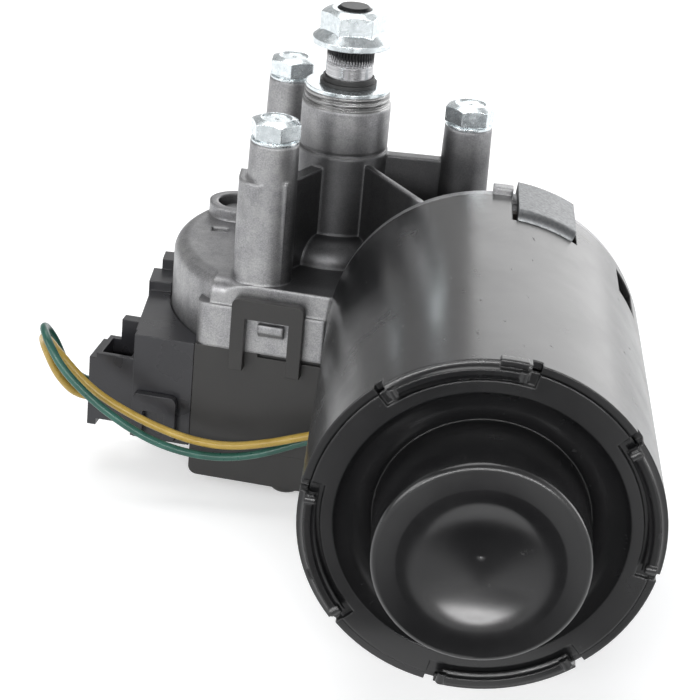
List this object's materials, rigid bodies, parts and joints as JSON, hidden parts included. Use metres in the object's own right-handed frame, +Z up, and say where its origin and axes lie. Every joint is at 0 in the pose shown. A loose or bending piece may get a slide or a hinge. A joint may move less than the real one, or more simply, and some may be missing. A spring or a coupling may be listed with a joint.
{
  "type": "wiper motor",
  "caption": "Geared electric wiper motor: cast worm gearbox with upright output shaft and nut, black drum motor to one side, plastic cover with plug socket and short wires.",
  "frame": {"origin": "on the output shaft's axis, at the top face of the washer on the gearbox tower", "axes": "+Z up along the output shaft towards the nut, -Y along the motor towards its closed end, +X from the output shaft towards the motor's axis"},
  "size_m": [0.1352, 0.1742, 0.1085],
  "materials": {
    "cast_alloy": "as-cast, fine speckle",
    "bronze": "sintered bronze",
    "zinc_steel": "bright zinc plate",
    "bright_steel": "ground steel",
    "black_rubber": "smooth rubber",
    "white_nylon": "natural moulded nylon",
    "spring_steel": "spring steel",
    "copper": "copper",
    "core_steel": "stacked electrical steel sheets",
    "dark_moulding": "moulded phenolic",
    "black_enamel": "gloss black enamel",
    "ferrite": "dull sintered ferrite",
    "clip_steel": "satin plated steel",
    "brass": "pressed brass",
    "carbon": "pressed carbon",
    "cover_plastic": "fine satin moulding",
    "connector_plastic": "satin moulding, lighter where lit from above",
    "yellow_sheath": "smooth sheath",
    "green_sheath": "smooth sheath"
  },
  "bodies": {
    "housing": {"bearing_balls": "bright_steel", "bearing_outer_race": "bright_steel", "bolt_washers": "zinc_steel", "brush_boxes": "brass", "brush_plate": "dark_moulding", "brush_spring_1": "spring_steel", "brush_spring_2": "spring_steel", "brush_spring_3": "spring_steel", "can_clips": "clip_steel", "connector_housing": "connector_plastic", "connector_terminals": "brass", "contact_carrier": "dark_moulding", "cover_gasket": "black_rubber", "dome_bearing": "bronze", "dome_bearing_spring": "spring_steel", "end_cap": "black_enamel", "end_play_screw": "zinc_steel", "field_magnets": "ferrite", "gear_cover": "cover_plastic", "gear_housing": "cast_alloy", "green_wire": "green_sheath", "magnet_clips": "spring_steel", "mounting_bolts": "zinc_steel", "output_bush_lower": "bronze", "output_bush_upper": "bronze", "park_contacts": "brass", "shaft_seal_ring": "black_rubber", "suppression_chokes": "ferrite", "thrust_button": "dark_moulding", "tower_washer": "zinc_steel", "wire_grommet": "black_rubber", "worm_end_bush": "bronze", "yellow_wire": "yellow_sheath", "yoke_can": "black_enamel"},
    "output": {"output_shaft": "bright_steel", "flange_nut": "zinc_steel", "worm_wheel": "white_nylon", "wheel_hub": "bright_steel", "wheel_thrust_washer": "bright_steel", "wheel_circlip": "spring_steel", "park_contact_ring": "copper"},
    "armature": {"armature_shaft": "bright_steel", "armature_core": "core_steel", "armature_windings": "copper", "commutator_hub": "dark_moulding", "commutator_bars": "copper", "bearing_inner_race": "bright_steel"},
    "carbon_1": {"brush_1": "carbon"},
    "carbon_2": {"brush_2": "carbon"},
    "carbon_3": {"brush_3": "carbon"}
  },
  "joints": [
    {"name": "armature_spin", "type": "hinge", "parent": "housing", "child": "armature", "pos_m": [0.0356, -0.05, -0.0463], "axis": [0, 1, 0], "continuous": true},
    {"name": "output_spin", "type": "hinge", "parent": "housing", "child": "output", "pos_m": [0, 0, 0], "axis": [0, 0, 1], "continuous": true},
    {"name": "brush_1_slide", "type": "slide", "parent": "housing", "child": "carbon_1", "axis": [1, 0, 0], "range_m": [0, 0.003], "stiffness_N_per_m": 120, "springref_m": -0.002, "deforming": ["brush_spring_1"]},
    {"name": "brush_2_slide", "type": "slide", "parent": "housing", "child": "carbon_2", "axis": [-1, 0, 0], "range_m": [0, 0.003], "stiffness_N_per_m": 120, "springref_m": -0.002, "deforming": ["brush_spring_2"]},
    {"name": "brush_3_slide", "type": "slide", "parent": "housing", "child": "carbon_3", "axis": [0, 0, -1], "range_m": [0, 0.003], "stiffness_N_per_m": 120, "springref_m": -0.002, "deforming": ["brush_spring_3"]}
  ],
  "couplings": [
    {"joint": "output_spin", "follows": "armature_spin", "ratio": -0.018519}
  ]
}
